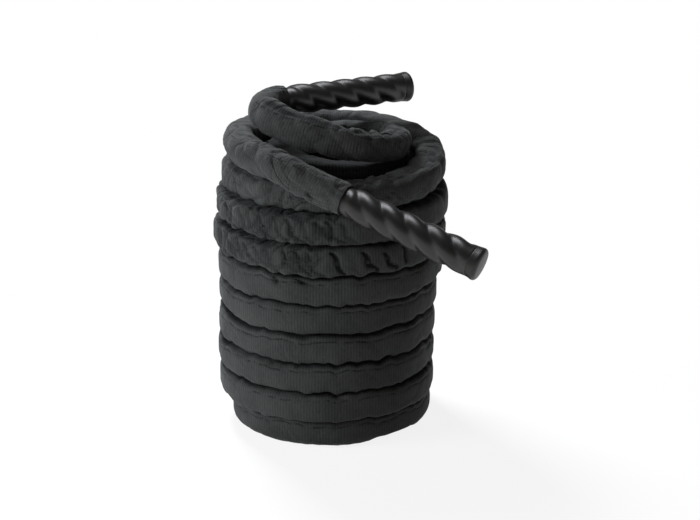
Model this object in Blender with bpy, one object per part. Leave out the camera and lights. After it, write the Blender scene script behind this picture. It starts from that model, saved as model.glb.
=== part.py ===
"""A battle rope, wound into an upright column as it is stored and sold.

The rope is one long core in a tubular sleeve. It starts at grip A on top of the column, winds down
an inner layer, steps out to the outer layer on the floor, winds up again and ends in grip B, which
lies over the front of the top turn. Metres, +Z up, the floor at z = 0, the front facing -Y.
"""
from math import cos, degrees, pi, radians, sin, sqrt

import bmesh
import bpy
import numpy as np
from mathutils import Vector
from mathutils.bvhtree import BVHTree

# Sleeve and rope where they are wound and pressed: a flat-topped six-sided section
SLEEVE_WIDTH = 0.045
SLEEVE_HEIGHT = 0.0392
SLEEVE_WALL = 0.0015
ROPE_CLEARANCE = 0.0004
WOUND_FLAT_SHARE = 0.34
ROUND_FLAT_SHARE = 0.25

# Sleeve and rope where they lie free on top
FREE_SLEEVE_DIAMETER = 0.043
FREE_ROPE_DIAMETER = 0.0345
FREE_SIDES = 10

# The column
OUTER_TURNS = 10
INNER_TURNS = 8
COLUMN_RADIUS = 0.148
TURN_GAP = 0.0007
LAYER_GAP = 0.0024
FRONT_SAG = 0.008
OUTER_STEPS = 24
INNER_STEPS = 12
FREE_STEP = 0.026
CURVE_STEPS = 24
# One share for each outer turn, from the floor up: its radius in column radii, and how far its
# middle stands to the right in sleeve widths
RADIUS_SHARES = (0.946, 1.022, 1.009, 1.007, 1.0, 1.025, 1.07, 1.053, 1.032, 0.95)
SHIFT_SHARES = (-0.01, -0.10, -0.08, -0.06, -0.04, 0.05, 0.03, 0.10, 0.235, 0.16)
# Degrees from the left of the column, by way of its front, between which a turn climbs to the next
# level. The top turn lifts earlier: degrees, and the share of the climb that is done there
FRONT_ANGLE = 90
CLIMB_FROM, CLIMB_TO = 180, 360
TOP_CLIMB_SHARES = ((135, 0), (180, 0.30), (210, 0.62), (240, 0.80), (270, 0.87), (315, 0.99),
                    (360, 1.05))
# How far each turn, from the floor up, follows that early lift at the back, so that no wide gap
# opens under the top turn; and the degrees over which the lift fades in and out
FOLLOW_SHARES = (0, 0, 0, 0, 0, 0.15, 0.35, 0.6, 1)
FOLLOW_FROM, FOLLOW_WHOLE, FOLLOW_LEAVES, FOLLOW_TO = 170, 220, 320, 360
INNER_TOP_TURNS = 9.23
INNER_START_ANGLE = 60
# The inner layer's last turns go down more steeply, clear of the rope that steps out below them
INNER_LAST_TURNS = 1.2
INNER_LAST_DROP = 0.06
# Where the inner layer ends on the floor, and where the rope has stepped out from it to the first
# outer turn, in degrees counter-clockwise from the column's right
STEP_OUT_FROM, STEP_OUT_TO = 119, 206

# The free ends: x and y in column radii, z in turns of the stack
FREE_A_SHARES = (
    (-0.570, -0.070, 10.56), (-0.557, -0.243, 10.46), (-0.457, -0.405, 10.31),
    (-0.318, -0.517, 10.16), (-0.111, -0.580, 9.99), (0.111, -0.586, 9.80),
    (0.328, -0.537, 9.63), (0.510, -0.392, 9.51), (0.600, -0.182, 9.47),
    (0.600, 0.034, 9.42), (0.535, 0.223, 9.35), (0.432, 0.365, 9.28),
)
FREE_B_SHARES = (
    (-0.780, -0.160, 9.57), (-0.762, -0.385, 9.58), (-0.690, -0.610, 9.53),
    (-0.563, -0.795, 9.46), (-0.405, -0.957, 9.33), (-0.208, -1.079, 9.08),
)
# Where each visible grip starts, and a point that it aims at
GRIP_A_SHARES = ((-0.386, 0.135, 10.61), (0.745, 0.682, 10.73))
GRIP_B_SHARES = ((0.164, -1.209, 8.52), (1.203, -1.689, 7.10))

# Grips: a shrunk rubber tube over the laid rope, closed by a cap
GRIP_LENGTH = 0.186
GRIP_LAP = 0.008
GRIPPED_ROPE_DIAMETER = 0.031
GRIP_BORE_DIAMETER = 0.0318
GRIP_NECK_DIAMETER = 0.0346
GRIP_GROOVE_DIAMETER = 0.035
GRIP_CREST_DIAMETER = 0.0402
GRIP_COLLAR_DIAMETER = 0.0358
GRIP_COLLAR_LENGTH = 0.013
ROPE_LAY = 0.096
STRANDS = 3
RIDGE_RUN_OUT = 0.012
GRIP_SIDES = 24
GRIP_RINGS = 34

CAP_DIAMETER = 0.0414
CAP_SKIRT = 0.014
CAP_THICKNESS = 0.0045
CAP_EDGE_RADIUS = 0.0035
CAP_PIP_RADIUS = 0.001

WHIPPING_WALL = 0.0012
WHIPPING_LENGTH = 0.026
ROPE_END_INSET = 0.012
ROPE_STEP_LENGTH = 0.002

HEM_LENGTH = 0.012
HEM_START_DIAMETER = 0.0408
HEM_RIM_DIAMETER = 0.0404
HEM_EDGE_RADIUS = 0.0012
HEM_TAPE_WALL = 0.0008
HEM_TAPE_LENGTH = 0.005
ROUND_SIDES = 24

# The gap that pieces which touch keep between them
TOUCH_GAP = 0.0003
LEAST_COIL_GAP = 0.0004

# Worked out from the sizes above
PITCH = SLEEVE_HEIGHT + TURN_GAP + FRONT_SAG / (OUTER_TURNS - 1)
FLOOR_TURN_HEIGHT = SLEEVE_HEIGHT / 2
ROPE_WIDTH = SLEEVE_WIDTH - 2 * (SLEEVE_WALL + ROPE_CLEARANCE)
ROPE_HEIGHT = SLEEVE_HEIGHT - 2 * (SLEEVE_WALL + ROPE_CLEARANCE)
ROPE_END_DIAMETER = GRIP_BORE_DIAMETER - 2 * (WHIPPING_WALL + 2 * TOUCH_GAP)
HEM_BORE_DIAMETER = GRIP_NECK_DIAMETER + 2 * (HEM_TAPE_WALL + 2 * TOUCH_GAP)


def clear_scene():
    for old in list(bpy.data.objects):
        bpy.data.objects.remove(old, do_unlink=True)


def unit(vectors):
    return vectors / np.linalg.norm(vectors, axis=-1, keepdims=True)


def ease(share):
    """0 to 1 with level ends."""
    share = np.clip(share, 0, 1)
    return share * share * (3 - 2 * share)


def material(name, colour, roughness, metallic=0.0):
    made = bpy.data.materials.new(name)
    made.use_nodes = True
    shader = made.node_tree.nodes["Principled BSDF"]
    shader.inputs["Base Color"].default_value = (*colour, 1)
    shader.inputs["Roughness"].default_value = roughness
    shader.inputs["Metallic"].default_value = metallic
    return made


def closed_solid(name, points, faces, finish, sharp):
    mesh = bpy.data.meshes.new(name)
    mesh.from_pydata(points.tolist(), [], faces)
    shell = bmesh.new()
    shell.from_mesh(mesh)
    bmesh.ops.recalc_face_normals(shell, faces=shell.faces[:])
    shell.to_mesh(mesh)
    shell.free()
    mesh.shade_smooth()
    mesh.set_sharp_from_angle(angle=radians(sharp))
    mesh.materials.append(finish)
    bpy.context.scene.collection.objects.link(bpy.data.objects.new(name, mesh))


def quads_between(near, far):
    """Four-cornered faces from each ring of point numbers in near to its ring in far."""
    corners = [near, np.roll(near, -1, axis=-1), np.roll(far, -1, axis=-1), far]
    return np.stack(corners, axis=-1).reshape(-1, 4).tolist()


def skin(name, rings, finish, loop=False, sharp=40):
    """A closed solid through rings of points. With loop, the last ring joins the first, as on a
    band with a bore; without it, a flat face closes each end."""
    rings = np.asarray(rings)
    count, sides, _ = rings.shape
    index = np.arange(count * sides).reshape(count, sides)
    if loop:
        faces = quads_between(index, np.roll(index, -1, axis=0))
    else:
        faces = quads_between(index[:-1], index[1:])
        faces += [index[0, ::-1].tolist(), index[-1].tolist()]
    closed_solid(name, rings.reshape(-1, 3), faces, finish, sharp)


def tube(name, outside, bore, finish, sharp=40):
    """A closed tube with a wall between two sets of rings. Both of its surfaces are split into
    faces the same way, so that a bent wall keeps its thickness."""
    count, sides, _ = outside.shape
    index = np.arange(2 * count * sides).reshape(2, count, sides)
    outer, inner = index
    faces = quads_between(outer[:-1], outer[1:])
    faces += [[a, d, c, b] for a, b, c, d in quads_between(inner[:-1], inner[1:])]
    faces += quads_between(inner[0], outer[0]) + quads_between(outer[-1], inner[-1])
    points = np.concatenate([outside, bore]).reshape(-1, 3)
    closed_solid(name, points, faces, finish, sharp)


def six_sided(width, height, flat_share):
    """The wound section, with level top and bottom faces flat_share of the width to each side."""
    flat = flat_share * width
    return [(width / 2, 0), (flat, height / 2), (-flat, height / 2),
            (-width / 2, 0), (-flat, -height / 2), (flat, -height / 2)]


def round_six(diameter):
    """A regular hexagon inside a circle of this diameter."""
    return six_sided(diameter, diameter * sqrt(3) / 2, ROUND_FLAT_SHARE)


def oval(width, height, sides):
    turn = np.arange(sides) * 2 * pi / sides
    return np.stack([width / 2 * np.cos(turn), height / 2 * np.sin(turn)], axis=1)


def turn_share(shares, level):
    return np.interp(level, np.arange(1, OUTER_TURNS + 1), shares)


def outer_radius(level):
    return COLUMN_RADIUS * turn_share(RADIUS_SHARES, level) - SLEEVE_WIDTH / 2


def inner_radius(level):
    """Inside the narrower of the outer turns one level below and one level above."""
    nearest = np.minimum(outer_radius(level - 1), outer_radius(level + 1))
    return nearest - SLEEVE_WIDTH - LAYER_GAP


def around(angle, radius, level, height):
    """Points on the column, angle in degrees counter-clockwise from its right, from above."""
    turn = np.radians(angle)
    shift = SLEEVE_WIDTH * turn_share(SHIFT_SHARES, level)
    return np.stack([shift + radius * np.cos(turn), radius * np.sin(turn), height], axis=-1)


def chord_angle(radius):
    """The angle, in degrees, of a chord one sleeve width long."""
    return degrees(2 * np.arcsin(SLEEVE_WIDTH / (2 * radius)))


def inner_winding():
    """Down from the top at a steady slope, steeper at the end. The first stretch is one straight
    sleeve width."""
    top = INNER_TOP_TURNS * PITCH
    first = INNER_START_ANGLE + chord_angle(inner_radius(OUTER_TURNS))
    last = STEP_OUT_FROM + 360 * INNER_TURNS
    steps = round((last - first) * INNER_STEPS / 360)
    angle = np.concatenate([[INNER_START_ANGLE], np.linspace(first, last, steps + 1)])
    height = np.interp(angle, (INNER_START_ANGLE, last - 360 * INNER_LAST_TURNS, last),
                       (top, FLOOR_TURN_HEIGHT + INNER_LAST_DROP, FLOOR_TURN_HEIGHT))
    level = 1 + (height - FLOOR_TURN_HEIGHT) / PITCH
    return around(angle, inner_radius(level), level, height)


def floor_spiral():
    """Outwards on the floor, from the inner layer to the first outer turn."""
    steps = round((STEP_OUT_TO - STEP_OUT_FROM) * OUTER_STEPS / 360)
    angle = np.linspace(STEP_OUT_FROM, STEP_OUT_TO, steps + 1)[1:-1]
    share = ease((angle - STEP_OUT_FROM) / (STEP_OUT_TO - STEP_OUT_FROM))
    radius = inner_radius(1) + (outer_radius(1) - inner_radius(1)) * share
    return around(angle, radius, np.ones(len(angle)), np.full(len(angle), FLOOR_TURN_HEIGHT))


def outer_winding():
    """Up from the floor. Each turn is level round the front and climbs at the back; the upper
    turns sag a little at the front. The last stretch is one straight sleeve width."""
    first = STEP_OUT_TO - 180
    whole = 360 * (OUTER_TURNS - 1)
    before = whole - chord_angle(outer_radius(OUTER_TURNS))
    steps = round((before - first) * OUTER_STEPS / 360)
    run = np.concatenate([np.linspace(first, before, steps + 1), [whole]])
    turns_below = np.minimum(run // 360, OUTER_TURNS - 2)
    angle = run - 360 * turns_below
    climb = ease((angle - CLIMB_FROM) / (CLIMB_TO - CLIMB_FROM))
    top_climb = np.interp(angle, *np.transpose(TOP_CLIMB_SHARES))
    fade = (ease((angle - FOLLOW_FROM) / (FOLLOW_WHOLE - FOLLOW_FROM))
            * ease((FOLLOW_TO - angle) / (FOLLOW_TO - FOLLOW_LEAVES)))
    follow = np.take(FOLLOW_SHARES, turns_below.astype(int)) * fade
    follow = np.where(turns_below == OUTER_TURNS - 2, 1, follow)
    stacked = turns_below + climb + (top_climb - climb) * follow
    front = np.maximum(0, np.sin(np.radians(angle))) ** 2
    sag = FRONT_SAG * stacked / (OUTER_TURNS - 1) * front
    height = FLOOR_TURN_HEIGHT + PITCH * stacked - sag
    level = 1 + (run - FRONT_ANGLE) / 360
    return around(180 + run, outer_radius(level), level, height)


def in_column(shares):
    return np.array(shares) * (COLUMN_RADIUS, COLUMN_RADIUS, PITCH)


def smooth_curve(controls, step):
    """Evenly spaced points on a Catmull-Rom curve through controls[1:-1]; the first and last
    control only steer its ends."""
    before, start, end, after = controls[:-3], controls[1:-2], controls[2:-1], controls[3:]
    share = np.linspace(0, 1, CURVE_STEPS, endpoint=False)[:, None, None]
    curve = 0.5 * (2 * start + (end - before) * share
                   + (2 * before - 5 * start + 4 * end - after) * share ** 2
                   + (3 * start - before - 3 * end + after) * share ** 3)
    curve = np.concatenate([curve.transpose(1, 0, 2).reshape(-1, 3), controls[-2:-1]])
    along = np.concatenate([[0], np.cumsum(np.linalg.norm(np.diff(curve, axis=0), axis=1))])
    even = np.linspace(0, along[-1], round(along[-1] / step) + 1)
    return np.stack([np.interp(even, along, curve[:, axis]) for axis in range(3)], axis=1)


class GripAxis:
    """The line of one grip: run 0 is where the visible grip starts, and run grows to its tip."""

    def __init__(self, shares):
        mouth, aim = in_column(shares)
        self.mouth = mouth
        self.along = unit(aim - mouth)
        self.side = unit(np.cross((0, 0, 1), self.along))
        self.up = np.cross(self.along, self.side)

    def at(self, run):
        return self.mouth + self.along * run

    def ring(self, run, radius, sides=ROUND_SIDES):
        """A circle about the axis; radius may also be one value for each side."""
        turn = np.arange(sides) * 2 * pi / sides
        radius = np.broadcast_to(radius, sides)[:, None]
        return (self.at(run) + radius * np.cos(turn)[:, None] * self.side
                + radius * np.sin(turn)[:, None] * self.up)


def ridge_radius(run):
    """The grip's outside at one place: a ridge over each strand, turning with the rope's lay."""
    turn = np.arange(GRIP_SIDES) * 2 * pi / GRIP_SIDES - 2 * pi * run / ROPE_LAY
    lobe = np.abs(np.cos(STRANDS / 2 * turn))
    ends = ease(run / RIDGE_RUN_OUT) * ease((GRIP_LENGTH - CAP_SKIRT - run) / RIDGE_RUN_OUT)
    high = (GRIP_CREST_DIAMETER - GRIP_GROOVE_DIAMETER) / 2
    return GRIP_GROOVE_DIAMETER / 2 + high * lobe * ends


def make_grip(name, axis, finish):
    collar = GRIP_LENGTH - CAP_SKIRT + TOUCH_GAP
    end = GRIP_LENGTH - CAP_THICKNESS - TOUCH_GAP
    rings = [axis.ring(-GRIP_LAP, GRIP_NECK_DIAMETER / 2, GRIP_SIDES),
             axis.ring(-TOUCH_GAP, GRIP_NECK_DIAMETER / 2, GRIP_SIDES)]
    for run in np.linspace(TOUCH_GAP, collar - GRIP_COLLAR_LENGTH / GRIP_RINGS, GRIP_RINGS):
        rings.append(axis.ring(run, ridge_radius(run), GRIP_SIDES))
    rings += [axis.ring(run, GRIP_COLLAR_DIAMETER / 2, GRIP_SIDES) for run in (collar, end)]
    rings += [axis.ring(run, GRIP_BORE_DIAMETER / 2, GRIP_SIDES) for run in (end, -GRIP_LAP)]
    return skin(name, rings, finish, loop=True, sharp=60)


def make_cap(name, axis, finish):
    """A cup over the grip's end, with a rounded edge and a slightly crowned face."""
    bore = GRIP_COLLAR_DIAMETER / 2 + TOUCH_GAP
    rim = GRIP_LENGTH - CAP_SKIRT + 2 * TOUCH_GAP
    seat = GRIP_LENGTH - CAP_THICKNESS
    outside = CAP_DIAMETER / 2
    edge = [(GRIP_LENGTH - CAP_EDGE_RADIUS * (2 - sin(radians(a))),
             outside - CAP_EDGE_RADIUS * (1 - cos(radians(a)))) for a in (0, 30, 60, 90)]
    profile = [(seat, CAP_PIP_RADIUS), (seat, bore), (rim, bore), (rim, outside), *edge,
               (GRIP_LENGTH - CAP_EDGE_RADIUS / 3, outside / 2), (GRIP_LENGTH, CAP_PIP_RADIUS)]
    return skin(name, [axis.ring(run, radius) for run, radius in profile], finish)


def make_band(name, axis, start, end, bore, outside, edge, finish):
    """A round band about the grip's axis, with its outer edges taken off."""
    profile = [(start, bore), (start, outside[0] - edge), (start + edge, outside[0]),
               (end - edge, outside[1]), (end, outside[1] - edge), (end, bore)]
    return skin(name, [axis.ring(run, radius) for run, radius in profile], finish, loop=True)


def make_end_pieces(letter, axis, finishes):
    make_grip(f"grip_{letter}", axis, finishes["grip"])
    make_cap(f"grip_end_cap_{letter}", axis, finishes["cap"])
    make_band(f"sleeve_hem_{letter}", axis, -HEM_LENGTH, -TOUCH_GAP, HEM_BORE_DIAMETER / 2,
              (HEM_START_DIAMETER / 2, HEM_RIM_DIAMETER / 2), HEM_EDGE_RADIUS, finishes["sleeve"])
    tape_bore = GRIP_NECK_DIAMETER / 2 + TOUCH_GAP
    tape_outside = tape_bore + HEM_TAPE_WALL
    tape_middle = -(GRIP_LAP + TOUCH_GAP) / 2
    make_band(f"hem_tape_{letter}", axis, tape_middle - HEM_TAPE_LENGTH / 2,
              tape_middle + HEM_TAPE_LENGTH / 2, tape_bore, (tape_outside, tape_outside),
              HEM_TAPE_WALL / 4, finishes["tape"])
    whipping_bore = ROPE_END_DIAMETER / 2 + TOUCH_GAP
    whipping_outside = whipping_bore + WHIPPING_WALL
    whipping_end = GRIP_LENGTH - ROPE_END_INSET - ROPE_STEP_LENGTH
    make_band(f"rope_whipping_{letter}", axis, whipping_end - WHIPPING_LENGTH, whipping_end,
              whipping_bore, (whipping_outside, whipping_outside), WHIPPING_WALL / 4,
              finishes["whipping"])


def gripped_rope(axis):
    """Places and diameters of the rope inside one grip, from its cut end to the grip's mouth."""
    cut = GRIP_LENGTH - ROPE_END_INSET
    step = cut - 2 * ROPE_STEP_LENGTH - WHIPPING_LENGTH
    squeezed = -GRIP_LAP - TOUCH_GAP
    runs = [cut, step, step - ROPE_STEP_LENGTH, squeezed, squeezed - ROPE_STEP_LENGTH]
    diameters = [ROPE_END_DIAMETER, ROPE_END_DIAMETER, GRIPPED_ROPE_DIAMETER,
                 GRIPPED_ROPE_DIAMETER, FREE_ROPE_DIAMETER]
    return [axis.at(run) for run in runs], [round_six(diameter) for diameter in diameters]


def frames(points, square_at, first_level, last_level):
    """Along, side and up directions of a section at each point, with Z kept up. A section halves
    the bend between its two stretches, except at the points in square_at, which maps a point to
    the stretch that it is square to. From first_level to last_level the sections stand plumb, so
    that turns which climb side by side keep their gap."""
    stretch = unit(np.diff(points, axis=0))
    along = unit(np.concatenate([stretch[:1], stretch[:-1] + stretch[1:], stretch[-1:]]))
    for place, index in square_at.items():
        along[place] = stretch[index]
    side = unit(np.cross((0, 0, 1), along))
    up = np.cross(along, side)
    up[first_level:last_level + 1] = (0, 0, 1)
    return along, side, up


def section_ring(centre, side, up, section):
    section = np.asarray(section)
    return centre + section[:, :1] * side + section[:, 1:] * up


def coil_gap(rings):
    """The least distance from points on the wound tube to its own other turns. Each face has
    points at every quarter of its length and width."""
    sides = rings.shape[1]
    quarters = np.arange(0, 1, 0.25)[:, None, None]
    across = rings[:, None] + quarters * (np.roll(rings, -1, axis=1) - rings)[:, None]
    across = across.reshape(len(rings), -1, 3)
    spread = across[:-1, None] + quarters * (across[1:] - across[:-1])[:, None]
    spread = spread.reshape(len(rings) - 1, -1, 3)
    length = INNER_STEPS // 3
    chunks = [(start, min(start + length, len(rings) - 1)) for start in
              range(0, len(rings) - 1, length)]
    least = float("inf")
    boxes = []
    for start, end in chunks:
        corners = rings[start:end + 1].reshape(-1, 3)
        row = np.arange((end - start + 1) * sides).reshape(-1, sides)
        near, far = row[:-1], row[1:]
        quads = np.stack([near, np.roll(near, -1, axis=1), np.roll(far, -1, axis=1), far], axis=-1)
        tree = BVHTree.FromPolygons([Vector(corner) for corner in corners],
                                    quads.reshape(-1, 4).tolist())
        boxes.append((corners.min(axis=0), corners.max(axis=0), tree))
    for this, (start, end) in enumerate(chunks):
        points = spread[start:end].reshape(-1, 3)
        for other, (low, high, tree) in enumerate(boxes):
            if abs(this - other) < 3:
                continue
            near = ((points > low - SLEEVE_WIDTH / 4) & (points < high + SLEEVE_WIDTH / 4)).all(axis=1)
            for point in points[near]:
                found = tree.find_nearest(Vector(point), least)
                if found[3] is not None:
                    least = min(least, found[3])
    return least


def make_rope(axis_a, axis_b, finishes):
    """The rope core in one piece, and the sleeve over it as a wound coil and two free ends."""
    in_a, sections_a = gripped_rope(axis_a)
    in_b, sections_b = gripped_rope(axis_b)
    coil = np.concatenate([inner_winding(), floor_spiral(), outer_winding()])
    end_a, end_b = axis_a.at(-HEM_LENGTH - TOUCH_GAP), axis_b.at(-HEM_LENGTH - TOUCH_GAP)
    free_a = smooth_curve(np.array([axis_a.mouth, end_a, *in_column(FREE_A_SHARES), *coil[:2]]),
                          FREE_STEP)
    free_b = smooth_curve(np.array([*coil[-2:], *in_column(FREE_B_SHARES), end_b, axis_b.mouth]),
                          FREE_STEP)
    route = np.concatenate([in_a, free_a[:-1], coil, free_b[1:], in_b[::-1]])
    first_free = len(in_a)
    first_coil = first_free + len(free_a) - 1
    last_coil = first_coil + len(coil) - 1
    last_free = last_coil + len(free_b) - 1
    square_at = {first_free: first_free - 1, first_coil: first_coil,
                 last_coil: last_coil - 1, last_free: last_free}
    along, side, up = frames(route, square_at, first_coil, last_coil)

    wound_rope = six_sided(ROPE_WIDTH, ROPE_HEIGHT, WOUND_FLAT_SHARE)
    free_rope = round_six(FREE_ROPE_DIAMETER)
    middle_steps = len(route) - 2 * len(in_a)
    sections = [*sections_a, *[free_rope] * middle_steps, *sections_b[::-1]]
    for place in range(first_coil + 2, last_coil - 1):
        sections[place] = wound_rope
    rings = [section_ring(*place) for place in zip(route, side, up, sections)]
    skin("rope_core", rings, finishes["rope"])

    bore_width, bore_height = SLEEVE_WIDTH - 2 * SLEEVE_WALL, SLEEVE_HEIGHT - 2 * SLEEVE_WALL
    half_gap = TOUCH_GAP / 2

    def sleeve_rings(first, last, outline, inset=0.0):
        """Rings of one node from place first to last, drawn back by half a gap where the sleeve
        goes on in another node."""
        centres = route[first:last + 1].copy()
        centres[0] += along[first] * half_gap
        centres[-1] -= along[last] * half_gap
        places = zip(centres, side[first:last + 1], up[first:last + 1], range(first, last + 1))
        return np.array([section_ring(c, s, u, outline(place, inset)) for c, s, u, place in places])

    def wound_outline(place, inset):
        if inset:
            return six_sided(bore_width, bore_height, WOUND_FLAT_SHARE)
        return six_sided(SLEEVE_WIDTH, SLEEVE_HEIGHT, WOUND_FLAT_SHARE)

    def free_outline(place, inset):
        """Round, pressed to the wound size over the two sleeve widths next to the coil, and drawn
        in to the hem over the two sleeve widths next to the grip."""
        reach = 2 * SLEEVE_WIDTH / FREE_STEP
        from_coil = ease(min(abs(place - first_coil), abs(place - last_coil)) / reach)
        at_hem = 1 - ease(min(abs(place - first_free), abs(place - last_free)) / reach)
        width = SLEEVE_WIDTH + (FREE_SLEEVE_DIAMETER - SLEEVE_WIDTH) * from_coil
        height = SLEEVE_HEIGHT + (FREE_SLEEVE_DIAMETER - SLEEVE_HEIGHT) * from_coil
        width += (HEM_START_DIAMETER - width) * at_hem
        height += (HEM_START_DIAMETER - height) * at_hem
        return oval(width - 2 * inset, height - 2 * inset, FREE_SIDES)

    outside = sleeve_rings(first_coil, last_coil, wound_outline)
    inside = sleeve_rings(first_coil, last_coil, wound_outline, SLEEVE_WALL)
    tube("sleeve_coil", outside, inside, finishes["sleeve"])
    for name, first, last in (("sleeve_free_end_a", first_free, first_coil),
                              ("sleeve_free_end_b", last_coil, last_free)):
        outer = sleeve_rings(first, last, free_outline)
        inner = sleeve_rings(first, last, free_outline, SLEEVE_WALL)
        tube(name, outer, inner, finishes["sleeve"], sharp=50)

    lengths = np.linalg.norm(np.diff(route, axis=0), axis=1)
    gap = coil_gap(outside)
    print(f"rope length {lengths.sum():.3f} m, sleeve {lengths[first_free:last_free].sum():.3f} m")
    print(f"least gap of the coil to itself {gap * 1000:.2f} mm, over {LEAST_COIL_GAP * 1000:.2f}:",
          gap > LEAST_COIL_GAP)


def stand_on_origin():
    """Every piece hangs on one empty, which is moved so that the middle of the whole footprint
    box stands on the origin."""
    pieces = list(bpy.context.scene.collection.objects)
    corners = np.concatenate([[vertex.co for vertex in piece.data.vertices] for piece in pieces])
    middle = (corners.min(axis=0) + corners.max(axis=0)) / 2
    stand = bpy.data.objects.new("battle_rope", None)
    bpy.context.scene.collection.objects.link(stand)
    for piece in pieces:
        piece.parent = stand
    stand.location = (-middle[0], -middle[1], 0)
    print("column axis at", np.round(stand.location[:2], 4))


def main():
    clear_scene()
    finishes = {
        "sleeve": material("woven nylon sleeve", (0.030, 0.032, 0.032), 0.85),
        "rope": material("twisted polyester rope", (0.020, 0.020, 0.019), 0.9),
        "grip": material("shrunk rubber grip", (0.014, 0.012, 0.011), 0.35),
        "cap": material("moulded rubber cap", (0.013, 0.012, 0.011), 0.45),
        "tape": material("cloth tape", (0.05, 0.05, 0.05), 0.7),
        "whipping": material("whipping twine", (0.30, 0.26, 0.20), 0.8),
    }
    axis_a, axis_b = GripAxis(GRIP_A_SHARES), GripAxis(GRIP_B_SHARES)
    make_rope(axis_a, axis_b, finishes)
    make_end_pieces("a", axis_a, finishes)
    make_end_pieces("b", axis_b, finishes)
    stand_on_origin()


main()
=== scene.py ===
# %% [markdown]
# # A battle rope, wound into an upright column
#
# A battle rope is about twelve metres of thick laid rope in a woven sleeve, with a rubber grip
# shrunk over each end. This one is wound into a column: from the first grip down an inner layer,
# out to the outer layer on the floor, and up to the second grip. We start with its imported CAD
# model, as fixed objects; all that we make stands in the same frame, in metres.

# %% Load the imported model
from math import pi, radians

import bpy
import numpy as np
from mathutils import Matrix


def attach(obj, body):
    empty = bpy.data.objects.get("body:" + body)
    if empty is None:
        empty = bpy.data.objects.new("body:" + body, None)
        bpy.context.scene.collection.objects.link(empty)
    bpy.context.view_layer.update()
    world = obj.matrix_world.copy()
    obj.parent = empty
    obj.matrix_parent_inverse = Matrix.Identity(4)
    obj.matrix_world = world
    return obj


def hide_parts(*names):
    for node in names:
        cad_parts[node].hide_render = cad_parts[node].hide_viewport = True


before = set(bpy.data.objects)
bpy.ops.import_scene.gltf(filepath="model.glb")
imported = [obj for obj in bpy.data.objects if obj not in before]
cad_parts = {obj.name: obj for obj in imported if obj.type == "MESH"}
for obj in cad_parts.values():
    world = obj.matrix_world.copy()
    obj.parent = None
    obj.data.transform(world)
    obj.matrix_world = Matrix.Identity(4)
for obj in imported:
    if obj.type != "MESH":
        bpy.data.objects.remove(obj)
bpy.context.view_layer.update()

MM = 0.001
print("CAD nodes:", ", ".join(sorted(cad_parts)))

# %% [markdown]
# ## The camera
#
# The photograph was taken with a long lens from a little above: the turns look alike in width
# from the floor up, and we look down into the top by 17 degrees. A 72 mm lens from 1.75 m away
# does the same.

# %% Camera
LENS_MM = 72
CAMERA_PLACE = (0.0109, -1.7626, 0.773)
CAMERA_DOWN_DEG = 16.98


def placed(name, data):
    """A new object in the scene, with this data."""
    made = bpy.data.objects.new(name, data)
    bpy.context.scene.collection.objects.link(made)
    return made


camera_data = bpy.data.cameras.new("photo_camera")
camera_data.sensor_width = 36
camera_data.lens = LENS_MM
camera = placed("photo_camera", camera_data)
camera.location = CAMERA_PLACE
camera.rotation_euler = (radians(90 - CAMERA_DOWN_DEG), 0, 0)
bpy.context.scene.camera = camera
print("camera at", CAMERA_PLACE)

# %% [markdown]
# ## The route of the rope
#
# A rope is one line with a length, and a section that is carried along it. The wound part follows a
# formula, because a coil is regular; the two free ends on top follow listed points. The numbers are
# those of the CAD source, so the dressed rope lies where the solids lie.

# %% Sizes of the column, as in the CAD source
SLEEVE_WIDTH = 0.045
SLEEVE_HEIGHT = 0.0392
COLUMN_RADIUS = 0.148
OUTER_TURNS = 10
INNER_TURNS = 8
FRONT_SAG = 0.008
LAYER_GAP = 0.0024
PITCH = SLEEVE_HEIGHT + 0.0007 + FRONT_SAG / (OUTER_TURNS - 1)
FLOOR_TURN_HEIGHT = SLEEVE_HEIGHT / 2
COLUMN_AXIS = np.array([-0.0181, 0.0564, 0])
RADIUS_SHARES = (0.946, 1.022, 1.009, 1.007, 1.0, 1.025, 1.07, 1.053, 1.032, 0.95)
SHIFT_SHARES = (-0.01, -0.10, -0.08, -0.06, -0.04, 0.05, 0.03, 0.10, 0.235, 0.16)
TOP_CLIMB_SHARES = ((135, 0), (180, 0.30), (210, 0.62), (240, 0.80), (270, 0.87), (315, 0.99),
                    (360, 1.05))
FOLLOW_SHARES = (0, 0, 0, 0, 0, 0.15, 0.35, 0.6, 1)
INNER_TOP_TURNS, INNER_START_ANGLE = 9.23, 60
INNER_LAST_TURNS, INNER_LAST_DROP = 1.2, 0.06
STEP_OUT_FROM, STEP_OUT_TO = 119, 206
FREE_A_SHARES = (
    (-0.570, -0.070, 10.56), (-0.557, -0.243, 10.46), (-0.457, -0.405, 10.31),
    (-0.318, -0.517, 10.16), (-0.111, -0.580, 9.99), (0.111, -0.586, 9.80),
    (0.328, -0.537, 9.63), (0.510, -0.392, 9.51), (0.600, -0.182, 9.47),
    (0.600, 0.034, 9.42), (0.535, 0.223, 9.35), (0.432, 0.365, 9.28),
)
FREE_B_SHARES = (
    (-0.780, -0.160, 9.57), (-0.762, -0.385, 9.58), (-0.690, -0.610, 9.53),
    (-0.563, -0.795, 9.46), (-0.405, -0.957, 9.33), (-0.208, -1.079, 9.08),
)
GRIP_A_SHARES = ((-0.386, 0.135, 10.61), (0.745, 0.682, 10.73))
GRIP_B_SHARES = ((0.164, -1.209, 8.52), (1.203, -1.689, 7.10))
GRIP_LENGTH, GRIP_LAP = 0.186, 0.008
HEM_LENGTH = 0.012
ROPE_END_INSET = 0.012


def unit(vectors):
    """Each vector divided by its length."""
    return vectors / np.linalg.norm(vectors, axis=-1, keepdims=True)


def ease(share):
    """0 to 1 with level ends: three times the square less twice the cube."""
    share = np.clip(share, 0, 1)
    return share * share * (3 - 2 * share)


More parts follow.
